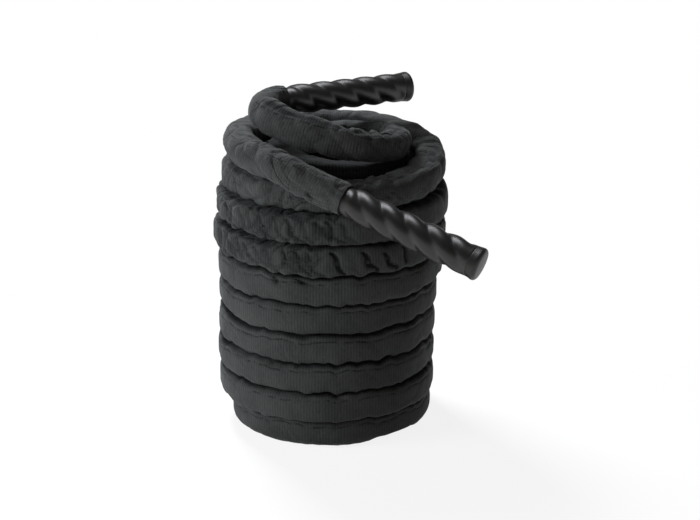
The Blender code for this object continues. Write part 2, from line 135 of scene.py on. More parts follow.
def window(values, first, last, fade_in, fade_out=None):
    """1 between first and last, eased to 0 outside them: the product of two eased ramps."""
    return ease((values - first) / fade_in) * ease((last - values) / (fade_out or fade_in))


def bell(distance, width):
    """A bell curve: e to the power of minus the square of distance over width."""
    return np.exp(-(distance / width) ** 2)


def in_frame(shares):
    """Shares of the column's radius and of the height of a turn, as points in metres."""
    return np.array(shares) * (COLUMN_RADIUS, COLUMN_RADIUS, PITCH) + COLUMN_AXIS


# %% [markdown]
# Each layer of the coil is an angle that grows, and a radius and a height that go with it.


# %% The coil, from its formula
def turn_share(shares, level):
    """The share at a level, between those of the turns just below and above it."""
    return np.interp(level, np.arange(1, OUTER_TURNS + 1), shares)


def outer_radius(level):
    """The column's radius at a level, less half a sleeve."""
    return COLUMN_RADIUS * turn_share(RADIUS_SHARES, level) - SLEEVE_WIDTH / 2


def inner_radius(level):
    """One sleeve inside the narrower of the outer turns just below and just above."""
    nearest = np.minimum(outer_radius(level - 1), outer_radius(level + 1))
    return nearest - SLEEVE_WIDTH - LAYER_GAP


def around(angle, radius, level, height):
    """Points round the column: its axis, shifted a little at each level, plus the radius times
    the cosine and sine of the angle."""
    turn = np.radians(angle)
    shift = SLEEVE_WIDTH * turn_share(SHIFT_SHARES, level)
    flat = np.stack([shift + radius * np.cos(turn), radius * np.sin(turn), height], axis=-1)
    return flat + COLUMN_AXIS


def inner_layer():
    """Down from the top at a steady slope, a little steeper in the last turn."""
    angle = np.arange(INNER_START_ANGLE, STEP_OUT_FROM + 360 * INNER_TURNS, 3.0)
    top = INNER_TOP_TURNS * PITCH
    last = STEP_OUT_FROM + 360 * INNER_TURNS
    height = np.interp(angle, (INNER_START_ANGLE, last - 360 * INNER_LAST_TURNS, last),
                       (top, FLOOR_TURN_HEIGHT + INNER_LAST_DROP, FLOOR_TURN_HEIGHT))
    level = 1 + (height - FLOOR_TURN_HEIGHT) / PITCH
    return around(angle, inner_radius(level), level, height)


def floor_spiral():
    """On the floor, the radius eases from the inner layer's to the outer layer's."""
    angle = np.arange(STEP_OUT_FROM, STEP_OUT_TO, 3.0)
    share = ease((angle - STEP_OUT_FROM) / (STEP_OUT_TO - STEP_OUT_FROM))
    radius = inner_radius(1) + (outer_radius(1) - inner_radius(1)) * share
    return around(angle, radius, np.ones(len(angle)), np.full(len(angle), FLOOR_TURN_HEIGHT))


def outer_layer():
    """Up from the floor: each turn is level round the front and climbs at the back, and the upper
    turns sag a little in front. The top turn climbs early, and the turns under it follow. Also
    gives the turns run since the left side."""
    run = np.arange(STEP_OUT_TO - 180, 360 * (OUTER_TURNS - 1) + 1.5, 3.0)
    turns_below = np.minimum(run // 360, OUTER_TURNS - 2)
    angle = run - 360 * turns_below
    climb = ease((angle - 180) / 180)
    top_climb = np.interp(angle, *np.transpose(TOP_CLIMB_SHARES))
    fade = window(angle, 170, 360, 50, 40)
    follow = np.take(FOLLOW_SHARES, turns_below.astype(int)) * fade
    follow = np.where(turns_below == OUTER_TURNS - 2, 1, follow)
    stacked = turns_below + climb + (top_climb - climb) * follow
    sag = FRONT_SAG * stacked / (OUTER_TURNS - 1) * np.maximum(0, np.sin(np.radians(angle))) ** 2
    level = 1 + (run - 90) / 360
    points = around(180 + run, outer_radius(level), level,
                    FLOOR_TURN_HEIGHT + PITCH * stacked - sag)
    return points, run / 360


# %% [markdown]
# A free end is a smooth curve through its points, and a grip is straight.


# %% The free ends, from their points
def smooth_curve(controls, steps=24):
    """A Catmull-Rom curve: between two points it is a cubic whose slope at each is half the way
    from the point before to the point after."""
    before, start, end, after = controls[:-3], controls[1:-2], controls[2:-1], controls[3:]
    share = np.linspace(0, 1, steps, endpoint=False)[:, None, None]
    curve = 0.5 * (2 * start + (end - before) * share
                   + (2 * before - 5 * start + 4 * end - after) * share ** 2
                   + (3 * start - before - 3 * end + after) * share ** 3)
    return np.concatenate([curve.transpose(1, 0, 2).reshape(-1, 3), controls[-2:-1]])


class GripAxis:
    """The straight line of one grip. Run 0 is where the visible grip starts."""

    def __init__(self, shares):
        self.mouth, aim = in_frame(shares)
        self.along = unit(aim - self.mouth)
        self.side = unit(np.cross((0, 0, 1), self.along))
        self.up = np.cross(self.along, self.side)

    def at(self, run):
        """The point of the line this far from its mouth."""
        return self.mouth + np.multiply.outer(run, self.along)

    def surface(self, run, radius, turn):
        """Points at a radius from the line, turned from its side towards its up."""
        return (self.at(run) + (radius * np.cos(turn))[..., None] * self.side
                + (radius * np.sin(turn))[..., None] * self.up)


axis_a, axis_b = GripAxis(GRIP_A_SHARES), GripAxis(GRIP_B_SHARES)
outer_points, outer_run = outer_layer()
coil = np.concatenate([inner_layer(), floor_spiral(), outer_points])
free_a = smooth_curve(np.array([axis_a.mouth, axis_a.at(-HEM_LENGTH), *in_frame(FREE_A_SHARES),
                                *coil[:6:5]]))
free_b = smooth_curve(np.array([*coil[-6::5], *in_frame(FREE_B_SHARES), axis_b.at(-HEM_LENGTH),
                                axis_b.mouth]))


# %% [markdown]
# The parts of the route meet with small corners. We put points 2 mm apart on the whole line and
# smooth it with a running mean, except in the grips, which hold the rope straight.

# %% One line, with points 2 mm apart
FINE = 0.002
SMOOTHING = 0.012
cut_end = GRIP_LENGTH - ROPE_END_INSET
rough = np.concatenate([axis_a.at(np.linspace(cut_end, 0, 60)), free_a, coil[1:-1], free_b,
                        axis_b.at(np.linspace(0, cut_end, 60))])


def length_along(line):
    """The length from the start to each point: the steps between the points, added up."""
    return np.concatenate([[0], np.cumsum(np.linalg.norm(np.diff(line, axis=0), axis=1))])


def at_lengths(lengths, line):
    """Points on the line at these lengths from its start."""
    along = length_along(line)
    return np.stack([np.interp(lengths, along, line[:, axis]) for axis in range(3)], axis=1)


def smoothed(line, reach, times=3):
    """Each point made the mean of the points within reach of it, a few times over. The ends are
    carried on straight, so that they stay."""
    half = max(1, round(reach / FINE))
    for _ in range(times):
        before = 2 * line[0] - line[half:0:-1]
        after = 2 * line[-1] - line[-2:-half - 2:-1]
        total = np.cumsum(np.concatenate([before[:1] * 0, before, line, after]), axis=0)
        line = (total[2 * half + 1:] - total[:-2 * half - 1]) / (2 * half + 1)
    return line


line = at_lengths(np.arange(0, length_along(rough)[-1], FINE), rough)
soft_line = smoothed(line, SMOOTHING)
along = length_along(line)
from_grips = np.minimum(along - cut_end, along[-1] - cut_end - along) - HEM_LENGTH
line += (soft_line - line) * ease(from_grips / 0.04)[:, None]
along = length_along(line)
sleeve_start, sleeve_end = cut_end + HEM_LENGTH, along[-1] - cut_end - HEM_LENGTH
print(f"rope {along[-1]:.3f} m, of which {sleeve_end - sleeve_start:.3f} m in the sleeve")

# %% [markdown]
# A section needs a direction outwards and one upwards. Level and across the rope is outwards,
# because the rope runs counter-clockwise. In the coil the sections stand plumb, so that turns
# press on each other evenly; on the free ends they stand square to the rope.

# %% Directions along the line
def nearest_length(point):
    """The length along the line at which it passes nearest to a point."""
    return along[np.linalg.norm(line - point, axis=1).argmin()]


coil_start, outer_start = nearest_length(coil[0]), nearest_length(outer_points[0])
coil_end = nearest_length(outer_points[-1])
tangent = unit(np.gradient(line, axis=0))
outward = unit(np.cross(tangent, (0, 0, 1)))
square_up = np.cross(outward, tangent)
in_coil = window(along, coil_start, coil_end, 0.05)
upward = unit(square_up + (np.array([0, 0, 1]) - square_up) * in_coil[:, None])
outer_lengths = length_along(outer_points)
turns_run = np.interp(along, outer_start + outer_lengths * (coil_end - outer_start)
                      / outer_lengths[-1], outer_run, left=-1, right=outer_run[-1])
print(f"coil from {coil_start:.3f} m to {coil_end:.3f} m, outer layer from {outer_start:.3f} m")

# %% [markdown]
# ## The sleeve
#
# The sleeve is a flat woven tube of ribbed nylon, a little too wide for the rope. Where it is
# wound, the turns above and below press it into a squarish oval; on the free ends it is round.
# The spare cloth gathers in folds on the inner side of each bend, as the skin does inside an
# elbow.
#
# Simulating 11.9 m of wound cloth would be too much, and a surface over a grid does it well:
# length along the rope one way, angle round it the other, and the folds as a height outwards.

# %% Where the rings of the sleeve stand
RING_COUNT = 2560
SIDES = 36
# Steps between the rings, as shares of each other
CREASE_STEP, LEANING_STEP, CLOSE_STEP, VISIBLE_STEP, BACK_STEP = 1.5, 2.0, 2.4, 3.6, 5.0
TOP_STEP, HIDDEN_STEP = 0.85 * VISIBLE_STEP, 11.0
EDGE_RING = 0.4 * MM


def closeness(lengths):
    """One over the step between rings: small steps where folds show, large ones at the back and
    in the hidden inner layer."""
    turns = np.interp(lengths, along, turns_run)
    front = ease(0.5 - np.sin(2 * pi * turns + 2.9) * 0.9)
    step = BACK_STEP + (VISIBLE_STEP - BACK_STEP) * front
    step = np.where(lengths < outer_start, HIDDEN_STEP, step)
    near_top = (lengths < coil_start + 0.45) | (lengths > coil_end - 0.40)
    step = np.where(near_top, TOP_STEP, step)
    creased = ((turns > 6.02) & (turns < 6.46)) | ((turns > 7.05) & (turns < 7.35))
    near_ends = (lengths < sleeve_start + 0.30) | (lengths > sleeve_end - 0.24)
    step = np.where(creased | near_ends, CLOSE_STEP, step)
    from_end = sleeve_end - lengths
    leaning = (np.abs(from_end - 2.61) < 0.10) | (np.abs(from_end - 1.73) < 0.10)
    deep = (np.abs(from_end - 2.46) < 0.06) | (lengths > sleeve_end - 0.19)
    step = np.where(leaning, np.minimum(step, LEANING_STEP), step)
    return 1 / np.where(deep, CREASE_STEP, step)


sleeve_fine = np.arange(sleeve_start, sleeve_end, FINE)
count = np.concatenate([[0], np.cumsum(closeness(sleeve_fine))[:-1]])
ring_at = np.interp(np.linspace(0, count[-1], RING_COUNT), count, sleeve_fine)
# A ring close to each end keeps the shading of the edge crisp
ring_at[[0, 1, -2, -1]] = sleeve_start, sleeve_start + EDGE_RING, sleeve_end - EDGE_RING, sleeve_end
gaps = np.diff(ring_at) / MM
print(f"{RING_COUNT} rings, {gaps.min():.1f} to {gaps.max():.1f} mm apart")


def on_rings(values, lengths=ring_at):
    """Values or vectors of the fine line, taken at the lengths where the rings stand."""
    if np.ndim(values) == 1:
        return np.interp(lengths, along, values)
    return np.stack([np.interp(lengths, along, values[:, axis]) for axis in range(3)], axis=1)


def tube_grid(lengths, wide, high):
    """Points round the line: at each length, wide times outwards plus high times upwards."""
    middle, out, up = (on_rings(values, lengths)[:, None] for values in (line, outward, upward))
    return middle + wide[..., None] * unit(out) + high[..., None] * unit(up)


# %% [markdown]
# Folds are random but not noisy: we put random values on a lattice over length and angle, closed
# round the rope so that there is no seam, and ease between them.

# %% Noise on a lattice
def lattice_noise(along_cells, turn, cells, seed):
    """Smooth noise from 0 to 1. along_cells counts lattice cells along the rope, and cells of
    them close a whole turn round it."""
    along_cells = along_cells - min(0, np.floor(np.min(along_cells)))
    row, column = np.floor(along_cells).astype(int), np.floor(turn * cells).astype(int)
    table = np.random.default_rng(seed).random((row.max() + 2, cells))
    down, across = ease(along_cells - row), ease(turn * cells - column)
    near = table[row, column % cells] * (1 - across) + table[row, (column + 1) % cells] * across
    far = (table[row + 1, column % cells] * (1 - across)
           + table[row + 1, (column + 1) % cells] * across)
    return near * (1 - down) + far * down


def valleys(size, cells, seed, lean, wander, width=0.45):
    """1 in the valleys between pillows of gathered cloth, 0 on the pillows. Each cell of the
    lattice holds one random point; a pillow is as high as the second nearest point is further
    than the nearest. lean slants the cells, width is that of a valley."""
    bend = lattice_noise(lengths / (2.2 * size), theta_turn, max(2, cells // 2), seed + 50) - 0.5
    u = lengths / size + lean * np.sin(theta) + wander * bend
    u = u - np.floor(u.min()) + 1
    v = theta_turn * cells
    row, column = np.floor(u).astype(int), np.floor(v).astype(int)
    spots = np.random.default_rng(seed).random((row.max() + 3, cells, 2))
    nearest, second = np.full(u.shape, 9.0), np.full(u.shape, 9.0)
    for down, side in [(i, j) for i in (-1, 0, 1) for j in (-1, 0, 1)]:
        spot = spots[row + down, (column + side) % cells]
        distance = np.hypot(u - row - down - spot[..., 0], v - column - side - spot[..., 1])
        second = np.minimum(second, np.maximum(nearest, distance))
        nearest = np.minimum(nearest, distance)
    return 1 - np.clip((second - nearest) / width, 0, 1) ** 0.8


# %% [markdown]
# The section is a squarish oval: a circle's cosine and sine, pushed outwards. The columns of the
# grid stand closer together on the outer face of the coil, where they show.

# %% The section of the sleeve
FREE_RADIUS, HEM_RADIUS = 0.0216, 0.0203
WOUND_HALF_WIDTH, WOUND_HALF_HEIGHT = 0.0222, 0.0206
FREE_SQUARENESS, LOW_SQUARENESS, SQUARENESS = 2.15, 2.3, 3.7
SLEEVE_GIRTH = 0.135
CROWDED_AT, CROWDING = radians(22), 0.42
PRESS_FADE, DRAWN_LENGTH = 0.09, 0.075

pressed = ease(0.5 + np.minimum(ring_at - coil_start, coil_end - ring_at) / PRESS_FADE)
# The top turn has nothing on it that presses it
on_top = ease((on_rings(turns_run) - (OUTER_TURNS - 2.15)) / 0.12) * pressed
drawn_in = 1 - ease(np.minimum(ring_at - sleeve_start, sleeve_end - ring_at) / DRAWN_LENGTH)
crowding = CROWDING * pressed * (1 - on_top)
theta = 2 * pi * np.arange(SIDES) / SIDES + CROWDED_AT * (crowding / CROWDING)[:, None]
theta = theta - crowding[:, None] * np.sin(theta - CROWDED_AT)
theta_turn = theta / (2 * pi)
lengths = np.broadcast_to(ring_at[:, None], theta.shape)
run = np.broadcast_to(on_rings(turns_run)[:, None], theta.shape)
level = run + 0.75
outer_side, top_side = np.cos(theta), np.sin(theta)


def squarish(value, power):
    """The cosine or sine of a circle, pushed outwards: its size to the power two over n."""
    return np.sign(value) * np.abs(value) ** (2 / power)


# %% [markdown]
# The folds are a sum of a few kinds, in millimetres and negative inwards: gathers on the inner
# side of the bends and over the free ends, broad lumps, shallow pillows on the pressed faces,
# long leaning folds on the seventh and eighth turn, and crumpled cloth on top.

# %% Folds of the sleeve, in millimetres
# Pillows: length in metres, number round the rope, seed, how much they lean and wander
GATHERS, TUCKS = (0.034, 3, 12, 0.35, 0.8), (0.018, 5, 13, -0.4, 1.2)
SHALLOW, LEANING = (0.034, 4, 17, 0.5, 1.3), (0.0185, 2, 18, -0.75, 1.4)
CRUMPLES = (0.021, 5, 23, 0.3, 1.6)
GATHERED_MM, TUCKED_MM, SHALLOW_MM, LEANING_MM, CRUMPLED_MM = 5.0, 1.5, 1.2, 5.5, 6.0

inner_side = (1 - outer_side) / 2
loose = np.maximum(1 - pressed, 0.9 * on_top)[:, None]
patches = lattice_noise(lengths / 0.11, theta_turn, 3, 11)
tucked = ease(1.8 * lattice_noise(lengths / 0.08, theta_turn, 3, 16) - 0.4)
gathered = np.maximum(inner_side ** 1.3, loose * (0.55 + 0.45 * np.abs(top_side)))
folds = -GATHERED_MM * gathered * (0.35 + 0.65 * patches) * valleys(*GATHERS, 0.6)
folds -= TUCKED_MM * np.maximum(gathered, 0.2) * tucked * valleys(*TUCKS)
folds += (1.8 + 2.4 * loose) * (lattice_noise(lengths / 0.05, theta_turn, 4, 14) - 0.55)
folds += (0.6 + 0.6 * loose) * (lattice_noise(lengths / 0.024, theta_turn, 6, 15) - 0.55)
folds -= SHALLOW_MM * tucked * (1 - loose) * valleys(*SHALLOW)

at_left = ease(np.cos(2 * pi * (run - 0.03)) / 0.6)
in_band = window(level, 6.6, 9.2, 0.25, 0.3)
facing = in_band * at_left * np.clip(outer_side + 0.45, 0, 1) * (0.4 + 0.6 * patches)
folds -= LEANING_MM * facing * valleys(*LEANING, 0.5)

crumpled = window(lengths, sleeve_start + 0.13, sleeve_start + 0.36, 0.05, 0.06)
crumpled += window(lengths, sleeve_end - 0.95, sleeve_end - 0.57, 0.06, 0.10)
crumpled *= ease(1.2 * top_side - outer_side + 0.2)
folds -= CRUMPLED_MM * crumpled * valleys(*CRUMPLES, 0.5)
print("folds from", folds.min().round(2), "to", folds.max().round(2), "mm")

# %% [markdown]
# Single creases and pits come on top. Each is a short line on the cloth, of a few places: metres
# before the sleeve's second end and the share of a turn round it; then a width and a depth in
# millimetres. Little light reaches the bottom of a fold, so we also keep painted shade there for
# the material, from 0 to 1: how dark the cloth is painted.

# %% Creases and pits
DEEP_CREASES = (
    (((2.504, 0.09), (2.498, 0.0), (2.489, -0.15)), 2.1, 7.5),
    (((2.469, 0.06), (2.463, -0.01), (2.452, -0.07), (2.452, -0.12)), 2.0, 6.5),
    (((2.444, 0.05), (2.438, -0.02), (2.428, -0.06), (2.427, -0.10)), 1.9, 6.0),
    (((2.420, 0.07), (2.415, -0.05)), 1.8, 4.5),
    (((3.402, 0.12), (3.398, 0.04)), 2.6, 3.6), (((3.374, 0.11), (3.366, 0.07)), 2.6, 3.2),
    (((0.060, 0.26), (0.052, 0.29)), 3.0, 4.5), (((0.062, 0.22), (0.046, 0.20)), 2.2, 2.2),
    (((0.872, -0.01), (0.868, 0.01)), 2.8, 4.2), (((0.030, -0.07), (0.024, -0.10)), 3.0, 4.5),
    (((0.939, 0.12), (0.934, 0.14)), 2.6, 3.4), (((0.090, 0.20), (0.084, 0.33)), 2.2, 2.4),
    (((0.115, 0.15), (0.125, 0.30)), 2.2, 2.2), (((0.215, 0.02), (0.160, -0.10)), 2.6, 2.4),
)
# Rows of leaning creases, from the front to the left on the seventh and eighth turn
CREASE_ROWS, CREASE_APART, CREASE_SEED = ((2.528, 2.71), (1.65, 1.83)), 0.0165, 41
# Painted shade: the crease depth in millimetres that is painted black, and how dark the hollow and
# the joints are painted
BLACK_DEPTH, HOLLOW_SHADE, JOINT_SHADE = 5.0, 0.45, 0.75


def leaning_creases(rng):
    """A crease in every 16 mm of these rows, each with a length, lean, width and depth of its
    own."""
    for first, last in CREASE_ROWS:
        for start in np.arange(first, last, CREASE_APART):
            start += rng.uniform(-0.004, 0.004)
            top, foot, lean = rng.uniform((0.05, -0.13, 0.010), (0.10, -0.03, 0.022))
            middle = (start - 0.3 * lean, 0.45 * top + 0.55 * foot)
            places = ((start, top), middle, (start - lean, foot))
            yield places, rng.uniform(1.9, 2.6), rng.uniform(1.6, 3.4)


def away_from(places):
    """The distance on the cloth, in millimetres, to the nearest of the lines between these
    places."""
    nearest = np.full(folds.shape, 99.0)
    for (from_end, turn_a), (to_end, turn_b) in zip(places, places[1:]):
        step = np.array([from_end - to_end, (turn_b - turn_a) * SLEEVE_GIRTH])
        off_u = lengths - sleeve_end + from_end
        off_v = ((theta_turn - turn_a + 0.5) % 1 - 0.5) * SLEEVE_GIRTH
        share = np.clip((off_u * step[0] + off_v * step[1]) / (step @ step), 0, 1)
        nearest = np.minimum(nearest, np.hypot(off_u - share * step[0], off_v - share * step[1]))
    return nearest / MM


painted_shade = 0 * folds
creases = (*DEEP_CREASES, *leaning_creases(np.random.default_rng(CREASE_SEED)))
# Each crease is cut into the cloth, and painted shade darkens its bottom
for places, width, deep in creases:
    crease = deep * bell(away_from(places), width)
    folds -= crease
    painted_shade = np.maximum(painted_shade, crease / BLACK_DEPTH)
# Painted shade in the valleys between pillows: how dark each kind is painted, where it is, its
# pattern and its width
SHADES = ((0.60, facing, LEANING, 0.25), (0.22, gathered, GATHERS, 0.22),
          (0.40, crumpled, CRUMPLES, 0.25))
for dark, where, pillows, width in SHADES:
    painted_shade = np.maximum(painted_shade, dark * where * valleys(*pillows, width))
# Painted shadow on the inner layer's first turn, seen in the hollow beside the free end
in_hollow = window(lengths, coil_start + 0.05, coil_start + 0.95, 0.10)
painted_shade = np.maximum(painted_shade, HOLLOW_SHADE * in_hollow * ease((outer_side + 0.6) / 0.5))
print(len(creases), "single creases")

# %% [markdown]
# At its two ends the sleeve is drawn in to the hems, and the cloth lies in pleats.

# %% Pleats, where the sleeve is drawn in to its hems
PLEAT_MM, PLEATS = 0.8, 9


def pleats(at_length, turn_round):
    """Waves along the rope: the cosine of nine turns for each turn round it, unevenly spread."""
    spread = lattice_noise(at_length / 0.03, turn_round, 4, 19)
    return np.cos(2 * pi * (PLEATS * turn_round + 1.8 * spread))


folds *= 1 - 0.9 * drawn_in[:, None] ** 3
folds += PLEAT_MM * drawn_in[:, None] ** 2 * pleats(lengths, theta_turn)

# %% [markdown]
# The cloth can hardly stand off further than the solid sleeve of the CAD model. Only where the
# flat tube isn't filled does its edge stand off as a flap: on top of the first free end, and
# inwards from the top turn in front. On the lower turns the pressed edge is a lip under each
# joint, which comes and goes.

# %% The surface of the sleeve
MOST_OUT, MOST_IN = 0.9, 5
LIP_HEIGHT, LIP_WIDTH, LIP_OUT = 0.0168, 0.0021, 0.0012
LINE_BELOW, LINE_WIDTH = 0.0052, 0.0017
# Flaps: millimetres outwards, the angle in degrees and its width, the lengths and their fade
FLAPS = ((6.6, 98, 0.38, 0.235, 0.375, 0.035),
         (5.2, 132, 0.42, sleeve_end - 0.90, sleeve_end - 0.62, 0.05))
EDGE_MM, EDGE_SHADE = 2.6, 0.85
# The edge along the first free end: lengths, and the angles round the rope there, in degrees
EDGE_ROUTE = ((0.24, 60), (0.33, 60), (0.354, 58), (0.376, 48), (0.395, 36), (0.42, 27), (0.47, 24))

half_width, half_height = (side * pressed + FREE_RADIUS * (1 - pressed)
                           for side in (WOUND_HALF_WIDTH, WOUND_HALF_HEIGHT))
half_width += (HEM_RADIUS - half_width) * drawn_in
half_height += (HEM_RADIUS - half_height) * drawn_in
power = FREE_SQUARENESS + (SQUARENESS - FREE_SQUARENESS) * pressed * (1 - 0.6 * on_top)
power = power[:, None]
# The lowest turn is rounder below
lowest = (top_side < 0) * ease((1.6 - level) / 0.4) * (outer_side > 0)
power = power - (power - LOW_SQUARENESS) * lowest
across = half_width[:, None] * squarish(outer_side, power)
height = half_height[:, None] * squarish(top_side, power)
most = np.where(folds > 0, MOST_OUT, MOST_IN)
folds = most * np.tanh(folds / most)


def turned_from(angle):
    """The turn from an angle to each point of the section, the short way round."""
    return (theta - angle + pi) % (2 * pi) - pi


uneven_edge = np.minimum(0.55 + 0.9 * lattice_noise(lengths / 0.013, theta_turn * 0, 3, 22), 1)
flap = sum(out * bell(turned_from(radians(angle)), wide) * window(lengths, first, last, fade)
           for out, angle, wide, first, last, fade in FLAPS) * uneven_edge
edge_lengths, edge_degrees = np.transpose(EDGE_ROUTE)
edge_turn = np.interp(lengths, edge_lengths, np.radians(edge_degrees))
on_edge = window(lengths, 0.235, 0.47, 0.03)
flap += EDGE_MM * np.exp(-np.abs(turned_from(edge_turn)) / 0.20) * on_edge
# Painted shade in a line just above the fold edge of the first free end
painted_shade = np.maximum(painted_shade, EDGE_SHADE * bell(turned_from(edge_turn + 0.26), 0.14) * on_edge)
folds += flap
across += folds * MM * outer_side
height += folds * MM * top_side

lip_height = LIP_HEIGHT + 0.0022 * (lattice_noise(lengths / 0.016, theta_turn * 0, 3, 20) - 0.5)
lip_strength = ease(2.2 * lattice_noise(lengths / 0.03, theta_turn * 0, 3, 21) - 0.4)
has_lip = (1 - loose) * ease((6.3 - level) / 0.3) * (outer_side > 0)
lip = (bell(height - lip_height, LIP_WIDTH)
       - 0.9 * bell(height - lip_height + LINE_BELOW, LINE_WIDTH))
across += LIP_OUT * lip * (0.25 + 0.75 * lip_strength) * has_lip

# %% [markdown]
# A turn that lies on another can't sink into it: its height eases up to half the pitch.

# %% Turns that lie on each other
SOFT_EDGE = 0.0012
ROOM, OPEN = PITCH / 2 - 0.0002, 0.03


def held_under(value, limit):
    """Value where it is well under the limit, then easing towards the limit."""
    bend = limit - SOFT_EDGE
    return np.minimum(value, bend) + SOFT_EDGE * np.tanh(np.maximum(0, value - bend) / SOFT_EDGE)


is_wound = pressed[:, None]
lid = np.where(on_rings(turns_run) < OUTER_TURNS - 2.0, ROOM, OPEN)[:, None]
lid = lid + (OPEN - lid) * (1 - is_wound)
bed = ROOM + (OPEN - ROOM) * (1 - is_wound)
height = np.where(height > 0, held_under(height, lid), -held_under(-height, bed))
sleeve_grid = tube_grid(ring_at, across, height)

# %% [markdown]
# Turns that are pressed together share one wandering line. We shift the points of the wound
# sleeve up or down by a noise over their place on the column. Both sides of a joint get the same
# shift, so no gap opens.

# %% The wandering joints between the turns
WANDER_MM, WANDER_CELLS, FINE_MM, FINE_CELLS = 5.0, 64, 2.6, 130
OFF_FLOOR, LIFT, FLOOR_LIFT = 0.87, 0.0055, 0.0004
from_axis = sleeve_grid - COLUMN_AXIS
azimuth = np.arctan2(from_axis[..., 1], from_axis[..., 0]) / (2 * pi) % 1
high = from_axis[..., 2]
shift = WANDER_MM * (lattice_noise(high / 0.03, azimuth, WANDER_CELLS, 31) - 0.5)
shift += FINE_MM * (lattice_noise(high / 0.02, azimuth, FINE_CELLS, 32) - 0.5)
wound_outer = is_wound * (lengths > outer_start) * ease(outer_side + 0.6)
sleeve_grid[..., 2] += shift * MM * wound_outer * window(high, 0, 0.40, 0.03, 0.05)
# At the right, the underside of the lowest turn is a little off the floor
off_floor = ease((0.055 - np.abs(azimuth - OFF_FLOOR)) / 0.02) * ease((0.012 - high) / 0.012)
sleeve_grid[..., 2] += LIFT * off_floor * ease(outer_side * 2 + 0.4)
sleeve_grid[..., 2] = np.maximum(sleeve_grid[..., 2], FLOOR_LIFT)
print("sleeve grid:", sleeve_grid.shape)

# %% [markdown]
# The sleeve is woven flat, and its two pressed edges show as thin lines along the rope; the
# material paints a thin shadow along each, under the lip on the lower turns. For the material we
# keep how far each point is from such a line, how loose the cloth is there, and how much painted
# shade it gets.

# %% Where the pressed edges run, and the painted shade of the joints
edge_place = np.where(lengths < coil_start, edge_turn - 0.12, radians(50))
from_edge = np.where(has_lip > 0.5, height - lip_height + LINE_BELOW,
                     0.021 * np.sin(theta - edge_place))
slack = np.clip(0.25 + 0.75 * loose + 0.6 * in_band * at_left + 0.5 * drawn_in[:, None], 0, 1)
# Painted shade in the joints, where a wound turn meets the turns above and below
to_joint = np.minimum(lid - height, bed + height)
joint_shade = bell(to_joint, 0.0014 + 0.0012 * lip_strength)
painted_shade = np.maximum(painted_shade, JOINT_SHADE * joint_shade * wound_outer)

# %% [markdown]
# The grid becomes a mesh of four-cornered faces. A real tube has an inside too, so a plainer
# inner wall is joined to it at both ends. The lengths along and round the rope, in metres, go
# into the UV map, which the ribs of the cloth follow.


# %% Grids into meshes
def tube_faces(rows, columns, start=0):
    """Faces between each ring and the next, turned so that they point outwards."""
    index = start + np.arange(rows * columns).reshape(rows, columns)
    near, far = index[:-1], index[1:]
    return np.stack([near, far, np.roll(far, -1, axis=1), np.roll(near, -1, axis=1)],
                    axis=-1).reshape(-1, 4)


def tube_uv(along_rows, around_columns):
    """The two lengths at the corners of tube_faces. around_columns has one value more than there
    are columns, so that the last face doesn't run backwards."""
    grid = np.stack(np.meshgrid(along_rows, around_columns, indexing="ij"), axis=-1)
    return np.stack([grid[:-1, :-1], grid[1:, :-1], grid[1:, 1:], grid[:-1, 1:]],
                    axis=2).reshape(-1, 2)


def piece(name, points, faces, uv, slot, *stands_for):
    """A smooth mesh object at the origin from arrays of points, faces and corner UVs. It rides on
    the root body and stands for these CAD nodes. The slot is not used."""
    mesh = bpy.data.meshes.new(name)
    mesh.from_pydata(np.asarray(points).reshape(-1, 3).tolist(), [],
                     [list(face) for face in faces])
    flat = np.zeros((len(mesh.loops), 2), np.float32)
    flat[:len(uv)] = uv
    mesh.uv_layers.new(name="UVMap").data.foreach_set("uv", flat.ravel())
    mesh.shade_smooth()
    made = placed(name, mesh)
    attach(made, "root")
    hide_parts(*stands_for)
    print(f"{name}: {len(mesh.vertices)} points, {len(mesh.polygons)} faces")
    return made


# %% [markdown]
# Now the sleeve itself, with its inner wall and its two ends.

# %% The sleeve as a mesh
INNER_EVERY, INNER_STEP = 4, 0.02
INNER_RADIUS = 0.0188
inner_at = np.linspace(sleeve_start, sleeve_end, round((sleeve_end - sleeve_start) / INNER_STEP))
inner_sides = SIDES // INNER_EVERY
inner_theta = 2 * pi * np.arange(inner_sides) * INNER_EVERY / SIDES
inner_pressed = ease(0.5 + np.minimum(inner_at - coil_start, coil_end - inner_at) / PRESS_FADE)
inner_pressed = inner_pressed[:, None]
inner_wall = tube_grid(inner_at, (INNER_RADIUS + 0.0006 * inner_pressed) * np.cos(inner_theta),
                       (INNER_RADIUS - 0.0010 * inner_pressed) * np.sin(inner_theta))


def end_faces(outer_ring, inner_ring, flip):
    """At one end, a face from each inner edge to the outer edges beside it."""
    for place, (here, there) in enumerate(zip(inner_ring, np.roll(inner_ring, -1))):
        edge = [outer_ring[(place * INNER_EVERY + step) % SIDES] for step in range(INNER_EVERY + 1)]
        face = [*edge, there, here]
        yield face[::-1] if flip else face


def keep_cloth(made, values):
    """Puts three numbers on each point: from_edge, slack and painted shade, which the nylon reads.
    """
    layer = made.data.attributes.new("cloth", "FLOAT_VECTOR", "POINT")
    layer.data.foreach_set("vector", np.asarray(values, np.float32).ravel())


